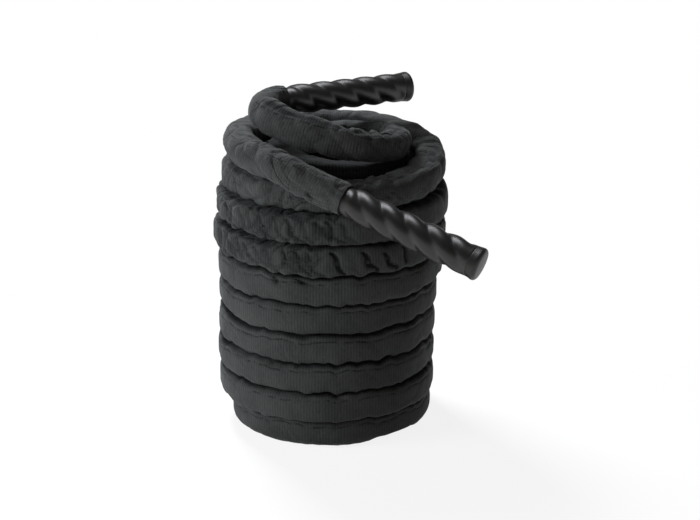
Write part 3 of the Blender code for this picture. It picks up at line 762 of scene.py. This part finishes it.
outer_count = RING_COUNT * SIDES
index = np.arange(outer_count).reshape(RING_COUNT, SIDES)
inner_index = outer_count + np.arange(len(inner_at) * inner_sides).reshape(-1, inner_sides)
inner_faces = tube_faces(len(inner_at), inner_sides, outer_count)[:, ::-1]
sleeve_faces = [*tube_faces(RING_COUNT, SIDES).tolist(), *inner_faces.tolist(),
                *end_faces(index[0], inner_index[0], False),
                *end_faces(index[-1], inner_index[-1], True)]
sleeve = piece("woven_sleeve",
               np.concatenate([sleeve_grid.reshape(-1, 3), inner_wall.reshape(-1, 3)]),
               sleeve_faces, tube_uv(ring_at, np.arange(SIDES + 1) / SIDES * SLEEVE_GIRTH),
               "sleeve", "sleeve_coil", "sleeve_free_end_a", "sleeve_free_end_b")
cloth = np.zeros((len(sleeve.data.vertices), 3))
cloth[:outer_count] = np.stack([from_edge, slack, painted_shade], axis=-1).reshape(-1, 3)
keep_cloth(sleeve, cloth)

# %% [markdown]
# ## The rope inside
#
# The hidden rope does the work: three thick strands laid round each other to the right. Its
# section is the outline of three touching circles, and it turns once in every 96 mm. Inside the
# grips the rubber squeezes it.

# %% The laid rope as a mesh
ROPE_LAY, STRANDS = 0.096, 3
ROPE_SIDES, ROPE_STEP, ROPE_GIRTH = 24, 0.010, 0.105
ROPE_RADIUS, SQUEEZED, WHIPPED, WHIPPED_LENGTH = 0.0169, 0.0018, 0.0012, 0.028
rope_at = np.linspace(0, along[-1], round(along[-1] / ROPE_STEP))
to_end = np.minimum(rope_at, along[-1] - rope_at)
rope_radius = ROPE_RADIUS - SQUEEZED * (1 - ease((to_end - cut_end - GRIP_LAP) / 0.02))
rope_radius -= WHIPPED * (1 - ease((to_end - WHIPPED_LENGTH) / 0.006))
rope_turn = 2 * pi * np.arange(ROPE_SIDES) / ROPE_SIDES
# Each strand is a circle that touches the two others inside a circle of radius 1
strand_share = 1 / (1 + 2 / np.sqrt(3))
middle = 1 - strand_share
from_strand = ((rope_turn - 2 * pi * rope_at[:, None] / ROPE_LAY + pi / STRANDS)
               % (2 * pi / STRANDS) - pi / STRANDS)
outline = middle * np.cos(from_strand) + np.sqrt(strand_share ** 2
                                                 - (middle * np.sin(from_strand)) ** 2)
outline = outline * rope_radius[:, None]
rope_grid = tube_grid(rope_at, outline * np.cos(rope_turn), outline * np.sin(rope_turn))
rope_index = np.arange(len(rope_at) * ROPE_SIDES).reshape(-1, ROPE_SIDES)
rope = piece("laid_rope", rope_grid, [*tube_faces(len(rope_at), ROPE_SIDES).tolist(),
                                      rope_index[0].tolist(), rope_index[-1, ::-1].tolist()],
             tube_uv(rope_at, np.arange(ROPE_SIDES + 1) / ROPE_SIDES * ROPE_GIRTH),
             "rope", "rope_core")

# %% [markdown]
# ## The grips
#
# Each grip is a rubber tube, shrunk over the rope by heat until the strands show as ridges that
# wind to the right: a radius that rises over each strand and falls to a soft groove between two.
# A cap closes the end, and on the other side the sleeve ends in a turned-in hem.

# %% Grip, cap and hem surfaces
GRIP_SIDES, GRIP_ROWS, HEM_SIDES, GRIP_GIRTH = 72, 150, 96, 0.12
GROOVE_RADIUS, CREST_RADIUS, NECK_RADIUS = 0.0168, 0.0204, 0.0173
COLLAR_RADIUS, BORE_RADIUS = 0.0179, 0.0159
TIP_RADIUS, TIP_RIDGE = 0.0189, 0.0009
CAP_RADIUS, CAP_SKIRT, CAP_THICKNESS, CAP_EDGE = 0.0206, 0.014, 0.0045, 0.0050
GAP = 0.0003


def whole_turn(sides):
    """The angles of a full turn in equal steps."""
    return 2 * pi * np.arange(sides) / sides


def band(name, axis, runs, radii, *named):
    """A closed band round a grip's line: its profile is a loop of runs with radii round each."""
    runs, radii = np.asarray(runs), np.asarray(radii)
    sides = radii.shape[1]
    turn = np.broadcast_to(whole_turn(sides), radii.shape)
    grid = axis.surface(runs[:, None] * np.ones(sides), radii, turn)
    faces = tube_faces(len(grid) + 1, sides) % (len(grid) * sides)
    travelled = np.concatenate([[0], np.cumsum(np.hypot(np.diff(runs), np.diff(radii[:, 0])))])
    travelled = np.append(travelled, travelled[-1] + 0.002)
    return piece(name, grid, faces[:, ::-1].tolist(),
                 tube_uv(travelled, np.arange(sides + 1) / sides * GRIP_GIRTH), *named)


def strand_ridges(runs, sides):
    """1 over each strand and less between two: the cosine's size, softened in the grooves."""
    turn = whole_turn(sides) - 2 * pi * np.asarray(runs)[:, None] / ROPE_LAY
    return np.sqrt(np.cos(STRANDS / 2 * turn) ** 2 + 0.05) - 0.1


def grip_radius(runs, seed):
    """A ridge over each strand, and the small unevenness of shrunk rubber. Near the cap the
    grooves fill up and the rubber widens."""
    ends = ease(runs / 0.012)[:, None]
    tip = ease((runs - GRIP_LENGTH + 0.034) / 0.020)[:, None]
    ridges = strand_ridges(runs, GRIP_SIDES)
    radius = GROOVE_RADIUS + (CREST_RADIUS - GROOVE_RADIUS) * ridges * ends
    radius = radius * (1 - tip) + (TIP_RADIUS + TIP_RIDGE * ridges) * tip
    uneven = lattice_noise(runs[:, None] / 0.016, whole_turn(GRIP_SIDES) / (2 * pi), 6, seed) - 0.5
    return radius + 0.0005 * uneven * ends


def make_grip(letter, axis, seed):
    """The ridged side, then down into the cap, back through the bore, and up the neck."""
    runs = np.linspace(0.0002, GRIP_LENGTH - CAP_SKIRT, GRIP_ROWS)
    neck, collar, bore = (np.full(GRIP_SIDES, radius)
                          for radius in (NECK_RADIUS, COLLAR_RADIUS, BORE_RADIUS))
    end = GRIP_LENGTH - CAP_THICKNESS - GAP
    return band(f"rubber_grip_{letter}", axis,
                [-GRIP_LAP, -GRIP_LAP / 2, *runs, GRIP_LENGTH - CAP_SKIRT + GAP, end, end,
                 GRIP_LENGTH / 2, -GRIP_LAP],
                [neck, neck, *grip_radius(runs, seed), collar, collar, bore, bore, bore],
                "grip", f"grip_{letter}")


def make_cap(letter, axis):
    """A cup that takes over the grip's ridges at its rim and widens to a rounded end. Its face is
    a little crowned and closed by a pip."""
    edge = np.radians(np.linspace(0, 90, 10))
    seat = GRIP_LENGTH - CAP_THICKNESS
    rim = GRIP_LENGTH - CAP_SKIRT + 0.00015
    skirt = rim + np.array([0, 0.0015, 0.003, 0.005, 0.007])
    rounded = np.stack([GRIP_LENGTH - CAP_EDGE * (1.15 - np.sin(edge)),
                        CAP_RADIUS - CAP_EDGE * (1 - np.cos(edge))], axis=1)
    face = [(GRIP_LENGTH - 0.0004, 0.0115), (GRIP_LENGTH - 0.0001, 0.0060), (GRIP_LENGTH, 0.0006)]
    profile = np.array([(seat, 0.0006), (seat, COLLAR_RADIUS + GAP), (rim, COLLAR_RADIUS + GAP),
                        *[(run, CAP_RADIUS) for run in skirt], *rounded, *face])
    sides, outer = GRIP_SIDES, slice(3, -3)
    runs, radii = profile[:, :1] * np.ones(sides), profile[:, 1:] * np.ones(sides)
    widening = ease((runs - rim) / 0.010)
    at_rim = TIP_RADIUS + TIP_RIDGE * strand_ridges(profile[:, 0], sides)
    radii[outer] -= ((CAP_RADIUS - at_rim) * (1 - widening))[outer]
    grid = axis.surface(runs, radii, np.broadcast_to(whole_turn(sides), runs.shape))
    rows = np.arange(len(profile) * sides).reshape(-1, sides)
    faces = tube_faces(len(profile), sides)[:, ::-1].tolist()
    travelled = np.concatenate([[0], np.cumsum(np.hypot(*np.diff(profile, axis=0).T))])
    return piece(f"rubber_cap_{letter}", grid,
                 [*faces, rows[0, ::-1].tolist(), rows[-1].tolist()],
                 tube_uv(travelled, np.arange(sides + 1) / sides * GRIP_GIRTH),
                 "cap", f"grip_end_cap_{letter}")


def make_hem(letter, axis, at_end, from_b):
    """The end of the sleeve, turned in over the neck. It goes on with the sleeve's pleats, which
    fade towards its thin lip."""
    bore = (NECK_RADIUS + 0.0014) / MM
    runs, radii = np.transpose([
        (-6.0, bore), (-11.7, bore), (-11.95, 19.5), (-11.9, 20.3), (-11.5, 20.3), (-10.0, 20.28),
        (-8.0, 20.2), (-5.5, 20.05), (-3.5, 19.9), (-1.7, 19.75), (-0.8, 19.5), (-0.35, 19.0),
        (-0.3, bore)]) * MM
    turn_round = np.arange(HEM_SIDES) / HEM_SIDES
    sleeve_turn = (0.5 - turn_round) % 1 if from_b else turn_round
    wave = pleats(np.full((1, HEM_SIDES), at_end), sleeve_turn)
    still = ease((radii / MM - bore) / 1.2) * (0.3 + 0.7 * ease(-runs / HEM_LENGTH))
    hem = band(f"sleeve_hem_fold_{letter}", axis, runs,
               radii[:, None] + PLEAT_MM * MM * wave * still[:, None],
               "sleeve", f"sleeve_hem_{letter}")
    keep_cloth(hem, np.tile((0.02, 1, 0), len(hem.data.vertices)))
    return hem


grips = [make_grip("a", axis_a, 21), make_grip("b", axis_b, 22)]
caps = [make_cap("a", axis_a), make_cap("b", axis_b)]
hems = [make_hem("a", axis_a, sleeve_start, False), make_hem("b", axis_b, sleeve_end, True)]

# %% [markdown]
# The line of the rope, taken at the points of the laid rope and at the rings of the sleeve.

on_rings(line, rope_at).tolist()
centre = on_rings(line)

# %% [markdown]
# ## Finishes
#
# Each finish starts from the real material. Colours are sRGB hex values, as a paint programme
# shows them, and one function makes them linear for the shader. Another adds a node, sets it and
# links it.


# %% Colour and node helpers
def linear(hex_colour):
    """An sRGB hex colour as linear values: a straight line near black, a power above it."""
    parts = np.array([int(hex_colour[i:i + 2], 16) for i in (1, 3, 5)]) / 255
    bright = np.where(parts <= 0.04045, parts / 12.92, ((parts + 0.055) / 1.055) ** 2.4)
    return (*bright.tolist(), 1)


def wire(tree, node, **inputs):
    """Fills a node's sockets, each with a value or with the output of another node, which is
    linked. A whole node stands for its first output, and None leaves a socket alone."""
    for name, value in inputs.items():
        socket = node.inputs[int(name[1:]) if name[1:].isdigit() else name.replace("_", " ")]
        if isinstance(value, bpy.types.Node):
            value = value.outputs[0]
        if isinstance(value, bpy.types.NodeSocket):
            tree.links.new(value, socket)
        elif value is not None:
            socket.default_value = value
    return node


def add(tree, kind, settings=None, stops=(), **inputs):
    """A node of this kind with its own settings, a colour ramp's stops, and its inputs."""
    node = tree.nodes.new("ShaderNode" + kind)
    for name, value in (settings or {}).items():
        setattr(node, name, value)
    for place, (position, colour) in enumerate(stops):
        marks = node.color_ramp.elements
        mark = marks[place] if place < len(marks) else marks.new(position)
        mark.position, mark.color = position, linear(colour)
    return wire(tree, node, **inputs)


def finish_of(name):
    """A new material, with its tree and its shader."""
    made = bpy.data.materials.new(name)
    made.use_nodes = True
    return made, made.node_tree, made.node_tree.nodes["Principled BSDF"]


def wear(objects, finish):
    """Gives each piece this one finish."""
    for one in objects:
        one.data.materials.clear()
        one.data.materials.append(finish)


# %% [markdown]
# The sleeve is plain-woven black nylon with a rib across the rope every 3.4 mm. Black nylon is
# charcoal rather than black, and a little dusty; light that grazes the yarns comes back as sheen.
# The tone is a weighted sum of yarns, ribs, fading and looseness, darkened by the painted shade of
# folds, joints and hollow and by the painted shadow line along the pressed edges.

# %% Woven nylon
RIB_PITCH, WAVE_LENGTHS = 0.0034, 20
LINE_HALF_WIDTH = 0.0008
nylon, tree, shader = finish_of("woven_black_nylon")
uv, places = add(tree, "UVMap"), add(tree, "TexCoord").outputs["Object"]
cloth = add(tree, "Attribute", {"attribute_name": "cloth"}).outputs["Vector"]
edge_out, slack_out, painted_shade_out = add(tree, "SeparateXYZ", Vector=cloth).outputs
ribs = add(tree, "TexWave", {"wave_type": "BANDS", "bands_direction": "X"}, Vector=uv,
           Scale=2 * pi / (WAVE_LENGTHS * RIB_PITCH), Distortion=0.6, Detail=1.0,
           Detail_Scale=1.5).outputs["Fac"]
stretched = add(tree, "Mapping", Vector=uv, Scale=(1, 0.35, 1))
yarns = add(tree, "TexNoise", Vector=stretched, Scale=700, Detail=3, Roughness=0.6)
fading = add(tree, "TexNoise", Vector=places, Scale=16, Detail=5, Roughness=0.62)


def crease_lines(tree, vector, scale, width):
    """0 on thin bent lines, 1 between them: how far a noise is from its middle value."""
    noise = add(tree, "TexNoise", Vector=vector, Scale=scale, Detail=1.5, Roughness=0.5,
                Distortion=0.8)
    off = add(tree, "Math", {"operation": "SUBTRACT"}, _0=noise, _1=0.5)
    off = add(tree, "Math", {"operation": "ABSOLUTE"}, _0=off)
    return add(tree, "MapRange", Value=off, From_Max=width)


crumple = add(tree, "Math", {"operation": "MULTIPLY_ADD"}, _0=crease_lines(tree, places, 40, 0.08),
              _1=0.25, _2=crease_lines(tree, places, 15, 0.06))

# Painted shadow: a thin broken dark line along each pressed edge, a bell curve over the distance
# from it
edge_shadow_line = edge_out
for operation, value in (("DIVIDE", LINE_HALF_WIDTH), ("ABSOLUTE", None), ("POWER", 2.0),
                         ("MULTIPLY", -1.0), ("EXPONENT", None)):
    edge_shadow_line = add(tree, "Math", {"operation": operation}, _0=edge_shadow_line, _1=value)
broken = add(tree, "TexNoise", Vector=places, Scale=95, Detail=2)
broken = add(tree, "MapRange", Value=broken, From_Min=0.42, From_Max=0.58)
edge_shadow_line = add(tree, "Math", {"operation": "MULTIPLY"}, _0=edge_shadow_line, _1=broken)

tone = yarns
for part, weight in ((ribs, 0.24), (fading, 1.1), (painted_shade_out, -1.3), (slack_out, 0.14),
                     (edge_shadow_line, -0.55)):
    tone = add(tree, "Math", {"operation": "MULTIPLY_ADD"}, _0=part, _1=weight, _2=tone)
tone = add(tree, "Math", {"operation": "MULTIPLY"}, _0=tone, _1=0.5)
depth = add(tree, "Math", {"operation": "MULTIPLY_ADD"}, _0=slack_out, _1=0.7, _2=0.05)
normal = None
for layer, strength, deep, sunk in ((crumple, depth, 0.0024, False), (edge_shadow_line, 0.8, 0.0010, True),
                                    (ribs, 0.36, 0.0006, False), (yarns, 0.35, 0.0005, False)):
    normal = add(tree, "Bump", {"invert": sunk}, Height=layer, Strength=strength, Distance=deep,
                 Normal=normal)
wire(tree, shader, Normal=normal, Roughness=0.78, Specular_IOR_Level=0.13, Sheen_Weight=0.10,
     Sheen_Roughness=0.4, Sheen_Tint=linear("#b4b8b8"),
     Base_Color=add(tree, "ValToRGB", Fac=tone,
                    stops=((0.12, "#060606"), (0.34, "#202121"), (0.85, "#414241"))))
wear([sleeve, *hems], nylon)

# %% [markdown]
# The grips are heat-shrunk rubber: brown-black, satin, with fine lines along the grip and a faint
# unevenness that breaks up the shine. The caps are moulded: duller, with a fine grain.

# %% Shrunk and moulded rubber
RUBBER_STOPS = ((0.3, "#0d0b0a"), (0.75, "#161412"))
shrunk, tree, shader = finish_of("shrunk_rubber")
places = add(tree, "TexCoord").outputs["Object"]
drawn = add(tree, "Mapping", Vector=add(tree, "UVMap"), Scale=(0.06, 1, 1))
lines = add(tree, "TexNoise", Vector=drawn, Scale=900, Detail=2)
uneven = add(tree, "TexNoise", Vector=places, Scale=60, Detail=5, Roughness=0.6)
drawn_lines = add(tree, "Bump", Height=lines, Strength=0.18, Distance=0.0003)
wire(tree, shader, Specular_IOR_Level=0.6,
     Base_Color=add(tree, "ValToRGB", Fac=uneven, stops=RUBBER_STOPS),
     Roughness=add(tree, "MapRange", Value=uneven, To_Min=0.34, To_Max=0.5),
     Normal=add(tree, "Bump", Height=uneven, Strength=0.25, Distance=0.0012,
                Normal=drawn_lines))
wear(grips, shrunk)

moulded, tree, shader = finish_of("moulded_rubber")
places = add(tree, "TexCoord").outputs["Object"]
grain = add(tree, "TexNoise", Vector=places, Scale=420, Detail=4, Roughness=0.65)
cloud = add(tree, "TexNoise", Vector=places, Scale=45, Detail=3)
wire(tree, shader, Specular_IOR_Level=0.5,
     Base_Color=add(tree, "ValToRGB", Fac=cloud, stops=RUBBER_STOPS),
     Roughness=add(tree, "MapRange", Value=cloud, To_Min=0.42, To_Max=0.54),
     Normal=add(tree, "Bump", Height=grain, Strength=0.3, Distance=0.0002))
wear(caps, moulded)

# %% [markdown]
# Three more finishes are hidden while the rope is whole: the black polyester of the laid rope,
# the cloth tape on the grips' necks, and the waxed twine that binds the rope's ends.


# %% Laid polyester, cloth tape and waxed twine
def threads(name, on_uv, pitch, wave, angle, fibre_scale, share, stops, bump, roughness):
    """Threads side by side: a wave over the UV map or the place, with fibres from noise."""
    made, tree, shader = finish_of(name)
    over = add(tree, "UVMap") if on_uv else add(tree, "TexCoord").outputs["Object"]
    turned = add(tree, "Mapping", Vector=over, Rotation=(0, 0, angle)) if on_uv else over
    wave = add(tree, "TexWave", {"bands_direction": "X" if on_uv else "DIAGONAL"}, Vector=turned,
               Scale=2 * pi / (WAVE_LENGTHS * pitch), **wave)
    fibres = add(tree, "TexNoise", Vector=over, Scale=fibre_scale, Detail=3)
    both = add(tree, "Math", {"operation": "MULTIPLY_ADD"}, _0=wave.outputs["Fac"], _1=share,
               _2=fibres)
    wire(tree, shader, Roughness=roughness, Base_Color=add(tree, "ValToRGB", Fac=both, stops=stops),
         Normal=add(tree, "Bump", Height=both, Strength=bump[0], Distance=bump[1]))
    return made


polyester = threads("laid_polyester", True, 0.0022, {"Distortion": 1.2, "Detail": 2.0}, radians(38),
                    900, 0.5, ((0.3, "#161616"), (0.95, "#333331")), (0.6, 0.0006), 0.8)
tape = threads("cloth_tape", False, 0.0006, {"Distortion": 0.8}, 0, 1500, 0.6,
               ((0.3, "#2b2b2b"), (1.0, "#4a4a49")), (0.5, 0.0003), 0.75)
twine = threads("waxed_twine", False, 0.0016, {"Distortion": 0.8}, 0, 1500, 0.6,
                ((0.3, "#6f6250"), (1.0, "#a89878")), (0.5, 0.0003), 0.6)
wear([rope], polyester)
wear([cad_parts[f"hem_tape_{letter}"] for letter in "ab"], tape)
wear([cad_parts[f"rope_whipping_{letter}"] for letter in "ab"], twine)

# %% [markdown]
# ## Floor and light
#
# The photograph is a cut-out on white. The camera sees the floor nearly all in its own even
# white, with a little of the lit surface left for a faint shadow. What shines sees a white
# horizon and a darker sky.

# %% White floor and world
FLOOR_HALF, EVEN_WHITE = 6.0, 0.86
SKY_FROM, SKY_TO, SKY_WHITE, FALLING = 0.0, 0.30, 0.10, 0.08


def seen_by(tree, *rays):
    """1 for these kinds of ray and 0 for the others: the largest of their outputs."""
    path = add(tree, "LightPath").outputs
    largest = path[rays[0]]
    for ray in rays[1:]:
        largest = add(tree, "Math", {"operation": "MAXIMUM"}, _0=largest, _1=path[ray])
    return largest


DIRECT = "Is Camera Ray", "Is Transmission Ray"
floor_material = bpy.data.materials.new("white_floor")
floor_material.use_nodes = True
tree = floor_material.node_tree
tree.nodes.clear()
away = add(tree, "VectorMath", {"operation": "LENGTH"}, _0=add(tree, "TexCoord").outputs["Object"])
evenness = add(tree, "MapRange", {"interpolation_type": "SMOOTHSTEP"}, From_Min=0.25, From_Max=0.8,
               Value=away.outputs["Value"], To_Min=EVEN_WHITE, To_Max=1.0)
share = add(tree, "Math", {"operation": "MULTIPLY"}, _0=seen_by(tree, *DIRECT, "Is Glossy Ray"),
            _1=evenness)
mix = add(tree, "MixShader", _0=share, _1=add(tree, "BsdfDiffuse", Color=linear("#e6e6e6")),
          _2=add(tree, "Emission", Color=(1, 1, 1, 1), Strength=1.0))
add(tree, "OutputMaterial", Surface=mix)

floor_mesh = bpy.data.meshes.new("white_floor")
floor_mesh.from_pydata([(x * FLOOR_HALF, y * FLOOR_HALF, 0)
                        for x, y in ((-1, -1), (1, -1), (1, 1), (-1, 1))], [], [(0, 1, 2, 3)])
floor_mesh.materials.append(floor_material)
placed("white_floor", floor_mesh)

world = bpy.data.worlds.new("white_studio")
bpy.context.scene.world = world
world.use_nodes = True
tree = world.node_tree
tree.nodes.clear()
upwards = add(tree, "SeparateXYZ", Vector=add(tree, "TexCoord").outputs["Generated"]).outputs["Z"]
sky = add(tree, "MapRange", {"interpolation_type": "SMOOTHSTEP"}, Value=upwards,
          From_Min=SKY_FROM, From_Max=SKY_TO, To_Min=1.0, To_Max=SKY_WHITE)
strength = add(tree, "Math", {"operation": "MAXIMUM"}, _0=seen_by(tree, *DIRECT), _1=sky)
mix = add(tree, "MixShader", _0=seen_by(tree, *DIRECT, "Is Glossy Ray"),
          _1=add(tree, "Background", Color=linear("#fff6ea"), Strength=FALLING),
          _2=add(tree, "Background", Color=(1, 1, 1, 1), Strength=strength))
add(tree, "OutputWorld", Surface=mix)
print("floor", 2 * FLOOR_HALF, "m wide, world set")

# %% [markdown]
# The key is a large soft box at the left and a little in front: it makes the left of the column
# grey and its right nearly black. A weak one fills the front, and one above and behind lights the
# tops of the turns. Shiny surfaces don't mirror these three. The fourth lamp is only mirrored, as
# the highlights on the rubber.


# %% Lamps
def soft_box(name, place, aim, size, power, colour, only_shine=False):
    """A square lamp at a place, turned to shine on a point: its back points away from it."""
    data = bpy.data.lights.new(name, "AREA")
    data.size, data.energy, data.color = size, power, linear(colour)[:3]
    lamp = placed(name, data)
    lamp.visible_glossy, lamp.visible_diffuse = only_shine, not only_shine
    back = unit(np.array(place) - np.array(aim))
    side = unit(np.cross((0, 0, 1), back))
    turned = np.stack([side, np.cross(back, side), back], axis=1)
    lamp.matrix_world = Matrix.Translation(place) @ Matrix(turned.tolist()).to_4x4()


soft_box("key_left", (-2.0, -0.80, 1.0), (0, 0, 0.24), 1.0, 52, "#f4f8ff")
soft_box("fill_front", (-0.8, -2.4, 0.9), (0, 0, 0.2), 1.2, 5, "#fff6ea")
soft_box("top_back", (-0.55, 1.05, 1.5), (0, 0, 0.40), 0.5, 66, "#f8faff")
soft_box("highlight", (-0.20, 0.40, 1.8), (0, 0, 0.40), 0.7, 18, "#f8faff", only_shine=True)

# %% [markdown]
# Last, the view settings.

# %% Finish
bpy.context.scene.view_settings.view_transform = "Standard"
